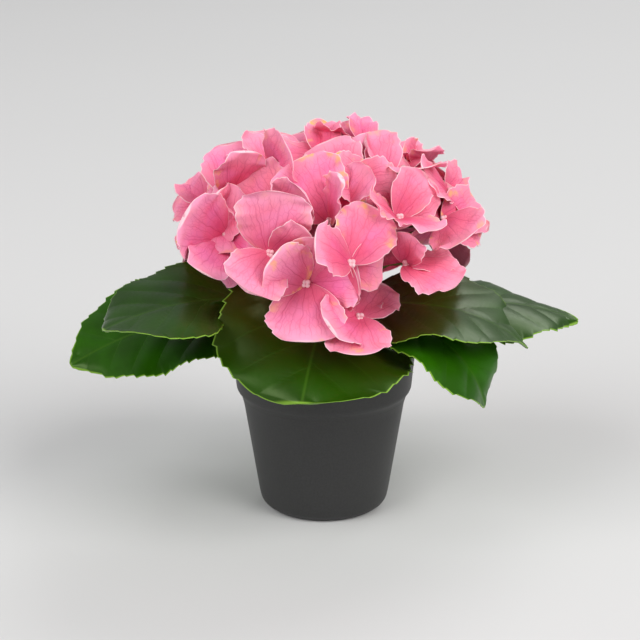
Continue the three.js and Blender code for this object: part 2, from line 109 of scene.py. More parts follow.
# Each floret: seat, the heading and height its face looks to, how mauve it is, and its petals,
# each with its place round the face, lift from it, curl along it, length, width, cup and the roll
# about its own length.
FLORETS = {
    "mass_front": [
        ((-8, -60, 132), (-98, 8), 0.95, [
            (136, 46, -8, 25, 28, 8, 11), (74, 22, -8, 24, 29, 10, 26),
            (-86, 24, 6, 28, 36, 4, -9), (13, 8, -8, 25, 29, 8, 0)]),
        ((12, -66, 143), (-80, 16), 0.15, [
            (60, -10, -4, 29, 29, 8, -5), (149, 37, -10, 25, 26, 10, 38),
            (-113, -52, -12, 25, 28, 8, 36), (-2, -37, -10, 24, 26, 8, 10)]),
        ((16, -56, 115), (-76, -2), 0.45, [
            (171, 49, -8, 25, 28, 8, 54), (28, -46, -8, 27, 28, 8, -42),
            (-124, 62, 4, 27, 30, 6, 37), (35, -60, -6, 20, 20, 4, -46)]),
        ((37, -46, 137), (-56, 16), 0.2, [
            (105, 44, -4, 20, 19, 12, -73), (-55, 61, -6, 29, 31, 10, -20),
            (-8, 19, -4, 27, 25, 12, -62), (52, -69, 0, 20, 22, 10, -75)]),
        ((34, -43, 158), (-54, 22), 0.2, [
            (51, -16, -6, 28, 30, 12, -35), (-87, 73, -8, 27, 21, 10, -5),
            (146, 18, -6, 21, 20, 10, 42), (37, 8, -6, 26, 27, 6, 0)]),
    ],
    "mass_front_top": [
        ((-24, -57, 145), (-112, 16), 0.9, [
            (82, 25, -8, 31, 35, 6, 24), (-95, 52, -8, 27, 30, 8, -30),
            (29, 10, -6, 22, 22, 8, 36), (-89, -45, -6, 24, 30, 8, -33)]),
        ((-21, -37, 159), (-120, 10), 0.6, [
            (148, -8, -8, 28, 33, 8, 20), (33, 23, -6, 23, 25, 8, 16),
            (-132, -19, -8, 24, 28, 8, -26), (-69, -47, -6, 24, 28, 6, -40)]),
        ((3, -41, 156), (-98, 12), 0.75, [
            (121, 0, -10, 33, 36, 8, 16), (57, -1, -8, 31, 26, 12, -47),
            (77, 30, -6, 24, 24, 14, -60), (-58, -57, -6, 25, 28, 8, -15)]),
        ((9, -29, 171), (-84, 26), 0.3, [
            (104, -23, -6, 27, 29, -4, -11), (-8, 8, -8, 25, 28, 10, 0),
            (-119, -55, -6, 25, 28, 8, 0), (-179, 8, -6, 25, 27, 8, 0)]),
    ],
    "mass_left": [
        ((-46, -30, 146), (-136, 12), 0.8, [
            (82, 76, -6, 28, 34, 10, 90), (-54, 49, -4, 28, 25, 8, -72),
            (87, 8, -8, 25, 29, 10, 0), (-38, 8, -6, 25, 29, 6, 0)]),
        ((-44, -20, 153), (-128, 22), 0.6, [
            (77, 65, 6, 18, 21, -10, 75), (-46, 22, -6, 24, 28, 8, -47),
            (16, 8, -6, 24, 27, 8, 0), (-132, 8, -6, 22, 26, 8, 0)]),
        ((-43, -18, 163), (-140, 30), 0.55, [
            (159, 2, -6, 24, 25, 6, -7), (55, 31, -6, 26, 26, 8, 95),
            (128, 6, -8, 28, 27, 8, 31), (-75, 8, -6, 25, 28, 8, 0)]),
        ((-57, -2, 154), (-168, 26), 0.5, [
            (-174, 18, -6, 24, 28, 6, 7), (164, 5, -8, 26, 29, 6, 59),
            (-77, 8, -6, 25, 28, 8, 0), (-97, 8, -6, 25, 28, 8, 0)]),
    ],
    "mass_top": [
        ((-25, -12, 172), (-116, 60), 0.45, [
            (133, 21, -6, 25, 18, 16, 38), (106, 7, -6, 27, 30, 6, 21),
            (-20, 47, 0, 28, 32, 8, 70), (-112, 8, -6, 26, 28, 8, 0)]),
        ((-1, -4, 178), (-98, 72), 0.3, [
            (113, 4, -6, 27, 31, 6, -21), (81, 3, -8, 27, 30, 6, 28),
            (-168, 8, -6, 25, 28, 6, 0), (-3, 8, -6, 25, 28, 6, 0)]),
        ((19, 14, 178), (50, 60), 0.5, [
            (-27, 36, 4, 25, 20, 16, -40), (-60, 36, -8, 27, 30, 6, 22),
            (-139, 8, -8, 26, 28, 6, 0), (41, 8, -8, 26, 30, 6, 0)]),
        ((25, -26, 169), (-62, 44), 0.55, [
            (84, 2, -8, 30, 33, 6, -29), (43, -7, -8, 28, 31, 8, 13),
            (-84, 8, -4, 25, 28, 14, 0), (160, 8, -8, 25, 28, 6, 0)]),
    ],
    "mass_right": [
        ((55, -28, 153), (-40, 26), 0.15, [
            (24, -5, -8, 27, 31, 10, -30), (-136, 53, -8, 27, 29, 10, 75),
            (-6, 3, -8, 28, 31, 8, 0), (-34, -53, -8, 26, 28, 8, 75)]),
        ((59, -8, 161), (-12, 40), 0.2, [
            (18, -6, -8, 25, 28, 8, -45), (-12, 8, -8, 27, 29, 6, 17),
            (-83, 8, -6, 26, 30, 8, 0), (139, 8, -6, 25, 28, 6, 0)]),
        ((45, 18, 166), (30, 34), 0.4, [
            (143, 12, -8, 23, 19, 20, 60), (121, -10, -8, 22, 24, 16, -60),
            (-125, 8, -8, 26, 28, 10, 0), (-63, 8, -8, 26, 28, 8, 0)]),
        ((37, -4, 171), (-24, 48), 0.35, [
            (37, -3, -8, 28, 31, 6, -40), (-156, 41, -6, 27, 30, 8, 40),
            (-85, 8, -8, 26, 28, 6, 0), (124, 8, -8, 25, 27, 6, 0)]),
    ],
}

# The even side: rows of florets round the crown as (height, from, to, count), dealt out by heading
# to the first mass whose limit it is under.
BACK_ROWS = [(6, 32, 154, 5), (38, 42, 148, 3), (68, 94, 94, 1)]
BACK_MASSES = [("mass_back_right", 72), ("mass_back", 110), ("mass_back_left", 180)]
BACK = {"reach": 61, "squash": 0.74, "lift": 16, "curl": -8, "length": 27, "width": 31, "cup": 10, "seed": 13}

# Leaves: heading and turn, pitch at the stem and the tip and how late it bends, roll at both ends,
# length, width, arch across, height of the foot, stalk, how brown the blade is at its base, and
# the rise and fall of its outline.
Leaf = namedtuple(
    "Leaf",
    "heading turn pitch_foot pitch_tip bend roll_foot roll_tip length width arch foot stalk brown swell")
LEAVES = {
    "leaf_front": Leaf(-92, -11, 16, -38, 0.8, -30, 1, 72, 91, 4, 100, 14, 0.8, (0.6, 0.5)),
    "leaf_left_upper": Leaf(214, -11.5, 34, -21.4, 1, -24, 8, 104, 90, 4, 94, 18, 0.8, (0.8, 0.55)),
    "leaf_right_upper": Leaf(-19, 4, 15, -39, 1.6, 17, -8, 89, 92, 2, 100, 18, 0.95, (0.6, 0.8)),
    "leaf_right_small": Leaf(-34, 5, 19, -82, 1.7, -1, -1, 92, 66, 2, 94, 16, 0.15, (1, 0.75)),
    "leaf_left_lower": Leaf(177, 21, 17, -29, 0.8, -3, -26, 112, 78, 2, 95, 18, 0.2, (0.6, 0.7)),
    "leaf_right_back": Leaf(6, 1, 22, -25.2, 1.2, 14, 0, 114, 76, 20, 88, 18, 0.3, (1, 0.9)),
    "leaf_back_left": Leaf(122, 6, 10, -34, 1.2, 0, 0, 98, 80, 12, 100, 18, 0.4, (0.6, 0.85)),
    "leaf_back_right": Leaf(68, -4, 10, -40, 1.2, 0, 0, 98, 80, 12, 90, 18, 0.4, (0.6, 0.85)),
}

# How far a leaf stands up where it folds over, past its middle; on which hand of the midrib its
# corner by the stem is raised, and how far; and how much narrower the blade is there.
Fold = namedtuple("Fold", "stand hand corner trim")
UNFOLDED = Fold(0.0, 1, 0.0, 0.0)
LEAF_FOLDS = {
    "leaf_front": Fold(4.0, -1, 17.0, 0.0),
    "leaf_left_upper": Fold(0.0, 1, -10.0, 0.62),
    "leaf_right_upper": Fold(1.0, 1, 0.0, 0.0),
}

# The studio: a floor this far to each side, three round lamps as (name, place in metres, size,
# power, colour), and a camera that looks down on its aim from a metre away.  Its focal length and
# the shift of its middle are in pixels of a square view.
FLOOR_REACH = 8.0
LAMPS = [
    ("key", (2.4, -2.0, 2.6), 3.2, 132.0, (1.0, 0.985, 0.97)),
    ("fill", (-2.5, -1.9, 2.3), 3.2, 92.0, (1.0, 1.0, 1.0)),
    ("rim", (1.3, 2.5, 2.8), 2.6, 48.0, (1.0, 1.0, 1.0)),
]
SKY = ((0.80, 0.80, 0.81, 1), 0.3)
AIM = np.array([0, 0, 0.1])
CAMERA = {"tilt": 17.4, "pixels": 640, "focal": 2037, "shift": (-4, -9.7), "sensor": 36.0}


# ---- properties ----

def linear(code):
    """An sRGB hex colour as a linear (r, g, b, 1)."""
    parts = [int(code[k:k + 2], 16) / 255 for k in (1, 3, 5)]
    return (*[c / 12.92 if c <= 0.04045 else ((c + 0.055) / 1.055) ** 2.4 for c in parts], 1.0)


def colour(name, description, code):
    """A colour that the sidebar shows, from its sRGB hex."""
    return bpy.props.FloatVectorProperty(
        name=name, description=description, subtype="COLOR", size=3, min=0, max=1, default=linear(code)[:3])


def size(name, description, default, largest):
    """A size that the sidebar shows, from its millimetres."""
    return bpy.props.FloatProperty(
        name=name, description=description, default=default * MM, min=0, max=largest * MM, unit="LENGTH")


class HydrangeaSizes(bpy.types.PropertyGroup):
    """Sizes that shape the cloth without moving a petal or a leaf."""

    ruffle: size("Ruffle", "How far a petal's margin waves in and out of it", 1.4, 3)
    rim: size("Pale rim", "Width of the pale line round a petal", 0.34, 2)
    tooth: size("Tooth", "How far a leaf's teeth stand out", 2.2, 3)
    pleat: size("Pleat", "Depth of a leaf's side veins", 0.75, 2)


class HydrangeaColours(bpy.types.PropertyGroup):
    """Colours of the cloth, the pot and the floor."""

    coral: colour("Coral", "Petals of the warmer florets", "#f9769a")
    mauve: colour("Mauve", "Petals of the cooler florets", "#ee78b0")
    leaf: colour("Leaf", "Upper side of the leaves", "#214900")
    pot: colour("Pot", "Moulded pot", "#2d2d2d")
    floor: colour("Floor", "Studio floor", "#d6d6d6")


# ---- shapes as grids ----

def direction(heading, height):
    """Unit vectors of headings (from +X towards +Y) and heights above the horizon, in degrees."""
    heading, height = np.radians(heading), np.radians(height)
    level = np.cos(height)
    return np.stack(
        np.broadcast_arrays(level * np.cos(heading), level * np.sin(heading), np.sin(height)), -1)


def seeded(seed):
    """Even numbers from 0 to 1: the source's rule, state = state * 1664525 + 1013904223."""
    state = seed
    while True:
        state = (state * 1664525 + 1013904223) & 0xFFFFFFFF
        yield state / 4294967296


def outline(v, rise, fall):
    """Half-width of a blade along it: v^rise (1-v)^fall over its own largest value."""
    widest = rise / (rise + fall)
    v = np.clip(v, 0, 1)
    return v ** rise * (1 - v) ** fall / (widest ** rise * (1 - widest) ** fall)


def smooth(x, low, high):
    """0 below low, 1 above high, and an even S between them."""
    t = np.clip((x - low) / (high - low), 0, 1)
    return t * t * (3 - 2 * t)


def ring(count):
    """Once round a thin blade's section: across it is cos(w), so points crowd at both margins,
    and its two faces lie at plus and minus the root of |sin(w)|, which rounds the margins."""
    w = np.linspace(0, 2 * np.pi, count, endpoint=False)
    return np.cos(w), np.sign(np.sin(w)) * np.sqrt(np.abs(np.sin(w)))


def arc(half, u, bow):
    """Across a cupped row: an arc of the given half-width whose margins turn through bow."""
    turn = np.radians(bow if abs(bow) > 0.1 else 0.1)
    return half * np.sin(turn * u) / turn, half * (1 - np.cos(turn * u)) / turn


def petal_grid(seat, face, petal, step, chance):
    """A petal leaves the face at its lift and curls along its length; a row across it is an arc of
    its cup, rolled about its length.  A wave runs along its notched margin and grows with the
    square of the way out to it, a shallow crease follows its middle, and its tip bends back."""
    place, lift, curl, length, width, cup, roll = petal
    ruffle = bpy.context.scene.hydrangea_sizes.ruffle / MM
    phases = np.array([next(chance) for _ in range(6)])
    v = ((1 - np.cos(np.linspace(0, np.pi, PETAL_ROWS))) / 2)[:, None]
    u, side = (part[None] for part in ring(PETAL_RING))
    out, right = direction(*face), direction(face[0] + 90, 0)
    up = np.cross(out, right)
    turn = np.radians(place)
    along = right * np.cos(turn) + up * np.sin(turn)
    across = up * np.cos(turn) - right * np.sin(turn)
    middle, here = np.radians(lift + curl * v / 2), np.radians(lift + curl * v)
    round_margin = np.where(u > 0, v, 2 - v)
    notch = 1.0
    for size, count, phase in NOTCHES:
        notch = notch + size * v * np.sin(2 * np.pi * (count * round_margin + phases[phase]))
    half = width / 2 * outline(v, *PETAL_OUTLINE) * notch + PETAL_CLAW / 2 * (1 - v)
    half = np.maximum(half, 0.05)
    lateral, raised = arc(half, u, cup)
    wave = np.sin(2 * np.pi * ((1.5 + phases[2]) * round_margin + phases[3]))
    wave = wave + 0.55 * np.sin(2 * np.pi * ((4.5 + 2 * phases[4]) * round_margin + phases[5]))
    swell = ruffle * smooth(v, 0.1, 0.7) * np.abs(u) ** 2.4 * wave
    swell = swell + PETAL_SWELL * np.sin(np.pi * v) * np.sin(2 * np.pi * (0.8 * u + 1.3 * v + phases[2]))
    depth, reach = PETAL_CREASE
    crease = -depth * np.exp(-(u * half / reach) ** 2) * np.sin(np.pi * np.clip(v, 0, 1)) ** 0.7
    tip_bend = -TIP_BEND * (phases[0] - 0.35) * smooth(v, 0.75, 1.0)
    off = raised + swell + crease + tip_bend + side * PETAL_THICK / 2 * np.minimum(1, half / 2)
    normal = along * -np.sin(here)[..., None] + out * np.cos(here)[..., None]
    lean = np.radians(roll)
    across, normal = (
        across * np.cos(lean) + normal * np.sin(lean), normal * np.cos(lean) - across * np.sin(lean))
    points = (
        np.asarray(seat, float)
        + along * (length * v * np.cos(middle))[..., None]
        + out * (length * v * np.sin(middle) + step)[..., None]
        + across * lateral[..., None]
        + normal * off[..., None]
    )
    edge = np.minimum(half * (1 - np.abs(u)), length * (1 - v) * 0.8 + 0 * u)
    marks = np.stack(np.broadcast_arrays(u * half, length * v, side), -1)
    return points, marks, edge


def floret_petals(florets, chance):
    """Grids of every petal of some florets, each floret's petals stacked by lift as in the source,
    with each one's tint: how mauve, how pale, how stained, and its own place in the patterns."""
    for seat, face, mauve, petals in florets:
        order = sorted(petals, key=lambda petal: petal[1])
        for k, petal in enumerate(order):
            step = (k - (len(petals) - 1) / 2) * PETAL_STEP
            grid = petal_grid(seat, face, petal, step, chance)
            pale = next(chance) * (0.25 + 0.75 * mauve)
            tint = (mauve + 0.3 * (next(chance) - 0.5), pale, next(chance) ** 2, next(chance))
            yield *grid, tint


def back_florets():
    """The even side's florets, by the source's seeded rule."""
    chance = seeded(BACK["seed"])

    def spread(size):
        return (next(chance) * 2 - 1) * size

    found = {name: [] for name, _ in BACK_MASSES}
    for height, start, end, count in BACK_ROWS:
        for k in range(count):
            heading = start + (end - start) * k / max(count - 1, 1) + spread(5)
            rise = height + spread(5)
            seat = CROWN + direction(heading, rise) * (BACK["reach"] + spread(3)) * (1, 1, BACK["squash"])
            turn = spread(45)
            petals = [
                (place + turn + spread(8), BACK["lift"] + spread(12), BACK["curl"] + spread(10),
                 BACK["length"] + spread(2), BACK["width"] + spread(3), BACK["cup"] + spread(12), 0)
                for place in (0, 90, 180, 270)]
            name = next(name for name, limit in BACK_MASSES if heading < limit)
            found[name].append((seat, (heading, rise + 6), 0.5 + 0.4 * np.sin(heading * 7), petals))
    return found


def tube_grid(points, radii, sides):
    """A round limb along a path: circles of the given radii in the planes across it."""
    points, radii = np.asarray(points, float), np.asarray(radii, float)
    tangent = np.gradient(points, axis=0)
    tangent /= np.linalg.norm(tangent, axis=1, keepdims=True)
    reference = np.cross(tangent.mean(0), (0.31, 0.94, 0.12))
    first = reference - tangent * (tangent @ reference)[:, None]
    first /= np.linalg.norm(first, axis=1, keepdims=True)
    second = np.cross(tangent, first)
    w = np.linspace(0, 2 * np.pi, sides, endpoint=False)
    circle = np.cos(w)[:, None] * first[:, None] + np.sin(w)[:, None] * second[:, None]
    return points[:, None] + circle * radii[:, None, None]


def curve(knots, count):
    """A Bezier path drawn by its knots, which run from end to end of it."""
    t = np.linspace(0, 1, count)[:, None]
    knots = [np.asarray(knot, float) for knot in knots]
    while len(knots) > 1:
        knots = [a * (1 - t) + b * t for a, b in zip(knots, knots[1:])]
    return knots[0]


def bead_grid(centre, radius, axis):
    """A ball: circles of radius r sin(a) at heights r cos(a) along the axis."""
    a = np.linspace(np.pi * 0.98, np.pi * 0.02, 9)
    heights = radius * np.cos(a)
    path = np.asarray(centre, float) + np.asarray(axis, float) * heights[:, None]
    return tube_grid(path, radius * np.sin(a), 10)


def lathe_grid(profile, sides):
    """A turned piece: its (radius, height) profile carried once round the vertical axis."""
    profile = np.asarray(profile, float)
    w = np.linspace(0, -2 * np.pi, sides, endpoint=False)
    radius, height = profile[:, :1], profile[:, 1:]
    return np.stack(np.broadcast_arrays(radius * np.cos(w), radius * np.sin(w), height), -1)


def rounded(profile, size, steps=5):
    """A (radius, height) profile with each inner corner cut by an arc of about the given size."""
    profile = np.asarray(profile, float)
    kept = [profile[:1]]
    t = np.linspace(0, 1, steps)[:, None]
    for before, corner, after in zip(profile, profile[1:], profile[2:]):
        to_before, to_after = before - corner, after - corner
        cut = min(size, np.linalg.norm(to_before) * 0.45, np.linalg.norm(to_after) * 0.45)
        start = corner + to_before / np.linalg.norm(to_before) * cut
        end = corner + to_after / np.linalg.norm(to_after) * cut
        kept.append(start * (1 - t) ** 2 + corner * 2 * t * (1 - t) + end * t ** 2)
    kept.append(profile[-1:])
    return np.concatenate(kept)


def leaf_midrib(leaf):
    """The midrib as the source carries it: pitch, heading and roll change along its length while
    it is summed up step by step.  Returns points, sideways and upward vectors, one more of each
    than the steps."""
    s = np.linspace(0, 1, MIDRIB_STEPS + 1)
    pitch = leaf.pitch_foot + (leaf.pitch_tip - leaf.pitch_foot) * s ** leaf.bend
    along = direction(leaf.heading + leaf.turn * s, pitch)
    steps = along[:-1] * (leaf.stalk + leaf.length) / MIDRIB_STEPS
    points = np.concatenate([[[0, 0, 0]], np.cumsum(steps, 0)]) + (0, 0, leaf.foot)
    left = direction(leaf.heading + leaf.turn * s + 90, 0)
    up = np.cross(along, left)
    roll = np.radians(leaf.roll_foot + (leaf.roll_tip - leaf.roll_foot) * s)[:, None]
    side = left * np.cos(roll) + up * np.sin(roll)
    return points, side, np.cross(along, side)


def leaf_grid(leaf, fold, chance):
    """A blade on its midrib: half-width from the outline, teeth that lean to the tip, side veins as
    shallow pleats slanting out from a grooved midrib, and a slow wave along the margin.  A fold
    stands it up in a ridge across 0.6 of its length, and raises and trims its corner by the stem."""
    sizes = bpy.context.scene.hydrangea_sizes
    path, sideways, upward = leaf_midrib(leaf)
    phases = np.array([next(chance) for _ in range(4)])
    v = np.linspace(0, 0.995, LEAF_ROWS)
    at = (leaf.stalk + leaf.length * v) / (leaf.stalk + leaf.length) * MIDRIB_STEPS
    index = np.arange(MIDRIB_STEPS + 1)
    middle, side, normal = (
        np.stack([np.interp(at, index, column) for column in table.T], -1)[:, None]
        for table in (path, sideways, upward))
    v = v[:, None]
    u, face = (part[None] for part in ring(LEAF_RING))
    plain = leaf.width / 2 * outline(v, *leaf.swell) + 1.5 * (1 - v)
    # A blunt blade narrows once more towards its tip.
    plain = plain * (1 - 0.5 * smooth(v, 0.84, 1.0) * smooth(leaf.swell[1], 0.5, 0.7))
    beat = leaf.length * v / TOOTH_PITCH + np.where(u > 0, 0.0, 0.43)
    saw = (beat % 1) ** 1.3 * (0.75 + 0.35 * np.sin(2.1 * np.floor(beat) + 9 * phases[3]))
    tooth = sizes.tooth / MM * saw * smooth(v, 0.06, 0.16) * smooth(plain, 1.0, 6.0)
    half = plain + tooth * smooth(np.abs(u), 0.75, 1.0) + 0.4 * np.sin(2 * np.pi * (3 * v + phases[0]))
    half = half * (1 - fold.trim * smooth(fold.hand * u, 0.0, 0.3) * smooth(0.66 - v, 0.0, 0.22))
    half = np.maximum(half, 0.1)
    lateral, raised = arc(half, u, leaf.arch)
    x, y = u * plain, leaf.length * v + 0 * u
    vein = (y - np.abs(x) * VEIN_SLANT + 1.5 * np.sign(x)) / VEIN_PITCH
    puff = np.abs(np.sin(np.pi * vein)) ** 0.6 - 0.75
    fade = smooth(np.abs(x), 0.5, 5) * (1 - np.abs(u) ** 4)
    pleat = sizes.pleat / MM * puff * fade
    depth, reach = LEAF_GROOVE
    groove = -depth * np.exp(-(x / reach) ** 2) * (1 - v) ** 0.5
    valley = LEAF_VALLEY * (np.abs(u) ** 1.4) * np.sin(np.pi * v) * (1 - 0.5 * np.abs(u))
    wave = np.sin(2 * np.pi * ((2.5 + phases[1]) * v + phases[2] + 0.5 * (u > 0)))
    wave = LEAF_WAVE * np.abs(u) ** 3 * wave * smooth(v, 0.1, 0.4)
    # The ridge is the lesser of two slopes, rounded where they meet.
    climb, fall = v / 0.6, (1 - v) / 0.4
    ridge = fold.stand * (climb + fall - np.sqrt((climb - fall) ** 2 + 0.05)) / 2 * (1 - 0.3 * u ** 2)
    ridge = ridge + fold.corner * smooth(fold.hand * u, 0.0, 1.0) * np.exp(-((v - 0.24) / 0.28) ** 2)
    off = ridge - raised + pleat + groove + valley + wave + face * LEAF_THICK / 2 * np.minimum(1, half / 2.5)
    points = middle + side * lateral[..., None] + normal * off[..., None]
    edge = np.minimum(half * (1 - np.abs(u)), (leaf.length * (1 - v) + 0 * u) * 0.6)
    marks = np.stack(np.broadcast_arrays(x, y, face), -1)
    return points, marks, edge


# ---- meshes and materials ----

def grid_faces(rows, columns):
    """Corner numbers of a closed grid's quads, and of the fans that close its ends on the two
    points after its own.  Rings run the same way round, so that all faces look outwards."""
    i, j = np.meshgrid(np.arange(rows - 1), np.arange(columns), indexing="ij")
    k = (j + 1) % columns
    quads = np.stack([i * columns + j, i * columns + k, (i + 1) * columns + k, (i + 1) * columns + j], -1)
    j = np.arange(columns)
    k = (j + 1) % columns
    middle, last = rows * columns + 0 * j, (rows - 1) * columns
    foot = np.stack([middle, k, j], -1)
    tip = np.stack([middle + 1, last + j, last + k], -1)
    return quads.reshape(-1, 4), np.concatenate([foot, tip])


def grid_uv(number, cells, rows, columns):
    """The same corners laid flat in one cell of a square of cells by cells: across the cell once
    round a ring, and up it from end to end."""
    corner = np.array([number % cells, number // cells]) / cells

    def cell(across, along):
        flat = np.stack(np.broadcast_arrays(0.03 + 0.94 * across, 0.03 + 0.94 * along), -1)
        return corner + flat / cells

    up = 0.04 + 0.92 * np.arange(rows) / (rows - 1)
    i, j = np.meshgrid(np.arange(rows - 1), np.arange(columns), indexing="ij")
    quads = np.stack([
        cell(j / columns, up[i]), cell((j + 1) / columns, up[i]),
        cell((j + 1) / columns, up[i + 1]), cell(j / columns, up[i + 1])], 2)
    j = np.arange(columns)
    foot = np.stack([cell(0.5 + 0 * j, 0.0), cell((j + 1) / columns, up[0]), cell(j / columns, up[0])], 1)
    tip = np.stack([cell(0.5 + 0 * j, 1.0), cell(j / columns, up[-1]), cell((j + 1) / columns, up[-1])], 1)
    return quads.reshape(-1, 2), np.concatenate([foot, tip]).reshape(-1, 2)


def make_piece(name, grids, material, stands_for=()):
    """One mesh from closed grids.  Each grid is rings along a blade or limb, whose ends close with
    a fan to their middle, and gets its own cell of the flat map.  A point keeps its marks, its way
    to the edge and its tint."""
    grids = list(grids)
    cells = int(np.ceil(np.sqrt(len(grids))))
    all_points, all_marks, all_edges, all_tints = [], [], [], []
    all_quads, all_fans, quad_uv, fan_uv = [], [], [], []
    start = 0
    for number, (points, marks, edge, tint) in enumerate(grids):
        size = points.shape[0] * points.shape[1]
        all_points += [points.reshape(-1, 3), points[[0, -1]].mean(1)]
        all_marks += [marks.reshape(-1, 3), marks[[0, -1]].mean(1)]
        all_edges += [edge.reshape(-1), np.zeros(2)]
        all_tints.append(np.tile(np.array(tint, float), (size + 2, 1)))
        quads, fans = grid_faces(*points.shape[:2])
        all_quads.append(start + quads)
        all_fans.append(start + fans)
        quads, fans = grid_uv(number, cells, *points.shape[:2])
        quad_uv.append(quads)
        fan_uv.append(fans)
        start += size + 2
    quads, fans = np.concatenate(all_quads), np.concatenate(all_fans)
    loops = np.concatenate([quads.ravel(), fans.ravel()]).astype(np.int32)
    starts = np.concatenate([np.arange(len(quads)) * 4, len(quads) * 4 + np.arange(len(fans)) * 3])
    uv = np.concatenate(quad_uv + fan_uv)
    mesh = bpy.data.meshes.new(name)
    mesh.vertices.add(start)
    mesh.vertices.foreach_set("co", (np.concatenate(all_points) * MM).astype(np.float32).ravel())
    mesh.loops.add(len(loops))
    mesh.loops.foreach_set("vertex_index", loops)
    mesh.polygons.add(len(starts))
    mesh.polygons.foreach_set("loop_start", starts.astype(np.int32))
    mesh.update(calc_edges=True)
    mesh.uv_layers.new(name="OFBake").data.foreach_set("uv", uv.astype(np.float32).ravel())
    for key, kind, field, parts in (
            ("marks", "FLOAT_VECTOR", "vector", all_marks),
            ("edge", "FLOAT", "value", all_edges),
            ("tint", "FLOAT_COLOR", "color", all_tints)):
        values = mesh.attributes.new(key, kind, "POINT")
        values.data.foreach_set(field, np.concatenate(parts).astype(np.float32).ravel())
    mesh.shade_smooth()
    mesh.materials.append(material)
    if mesh.validate(verbose=False):
        raise RuntimeError(f"{name}: the mesh had faces to mend")
    piece = bpy.data.objects.new(name, mesh)
    bpy.context.scene.collection.objects.link(piece)
    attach(piece, "root")
    if stands_for:
        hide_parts(*stands_for)
    return piece


def plain(grids):
    """Bare grids with even marks, edge and tint, which their materials don't read."""
    return [(grid, np.zeros_like(grid), np.ones(grid.shape[:2]), (0.5, 0.5, 0.5, 1.0)) for grid in grids]


def node(tree, kind, settings=None, links=None):
    """Adds a node.  Settings are its own properties; links are its inputs, each a value, a socket
    or another node, whose first output is taken."""
    made = tree.nodes.new(kind)
    for key, value in (settings or {}).items():
        setattr(made, key, value)
    for key, value in (links or {}).items():
        if isinstance(value, bpy.types.Node):
            value = value.outputs[0]
        if isinstance(value, bpy.types.NodeSocket):
            tree.links.new(value, made.inputs[key])
        else:
            made.inputs[key].default_value = value
    return made


def new_material(name):
    """An empty material and its node tree."""
    material = bpy.data.materials.new(name)
    material.use_nodes = True
    material.node_tree.nodes.clear()
    return material, material.node_tree


def add_surface(tree, inputs):
    """The shader, with its inputs set or linked, and the output that it goes to."""
    shader = node(tree, "ShaderNodeBsdfPrincipled", None, inputs)
    node(tree, "ShaderNodeOutputMaterial", None, {"Surface": shader})


MATH, MIX, BUMP = "ShaderNodeMath", "ShaderNodeMixRGB", "ShaderNodeBump"
RANGE, NOISE = "ShaderNodeMapRange", "ShaderNodeTexNoise"
TIMES, TIMES_ADD = {"operation": "MULTIPLY"}, {"operation": "MULTIPLY_ADD"}
LINEAR, SMOOTH = "LINEAR", "SMOOTHSTEP"


def cloth_places(tree):
    """What a cloth's pattern reads: the ways across and along the piece and which face it is; the
    way to the edge; the three shares of its tint; and a place for noise that differs from piece to
    piece.  Ways are in millimetres, so a noise of scale s has grains 1/s mm wide."""
    marks, tint, edge = (
        node(tree, "ShaderNodeAttribute", {"attribute_name": name}) for name in ("marks", "tint", "edge"))
    x, y, face = node(tree, "ShaderNodeSeparateXYZ", None, {0: marks.outputs["Vector"]}).outputs
    shares = node(tree, "ShaderNodeSeparateColor", None, {0: tint.outputs["Color"]}).outputs
    apart = node(tree, MATH, TIMES, {0: tint.outputs["Alpha"], 1: 400.0})
    shifted = node(tree, "ShaderNodeCombineXYZ", None, {0: x, 1: y, 2: apart})
    return (x, y, face), edge.outputs["Fac"], shares, shifted


def thin_lines(tree, phase, sharpness):
    """Lines where a phase passes a whole number of pi: (1 - |sin(phase)|) ^ sharpness."""
    wave = node(tree, MATH, {"operation": "SINE"}, {0: phase})
    height = node(tree, MATH, {"operation": "ABSOLUTE"}, {0: wave})
    dip = node(tree, MATH, {"operation": "SUBTRACT"}, {0: 1.0, 1: height})
    return node(tree, MATH, {"operation": "POWER"}, {0: dip, 1: sharpness})


def dyed_and_shaded(tree, base, coats):
    """A colour under coats of dye and of painted shade.  Each coat has what drives its share, the two values
    of that which the share runs between, the share at both, how it runs, and its colour."""
    for driver, low, high, at_low, at_high, run, code in coats:
        share = node(tree, RANGE, {"interpolation_type": run},
                     {0: driver, 1: low, 2: high, 3: at_low, 4: at_high})
        base = node(tree, MIX, None, {0: share, 1: base, 2: linear(code)})
    return base


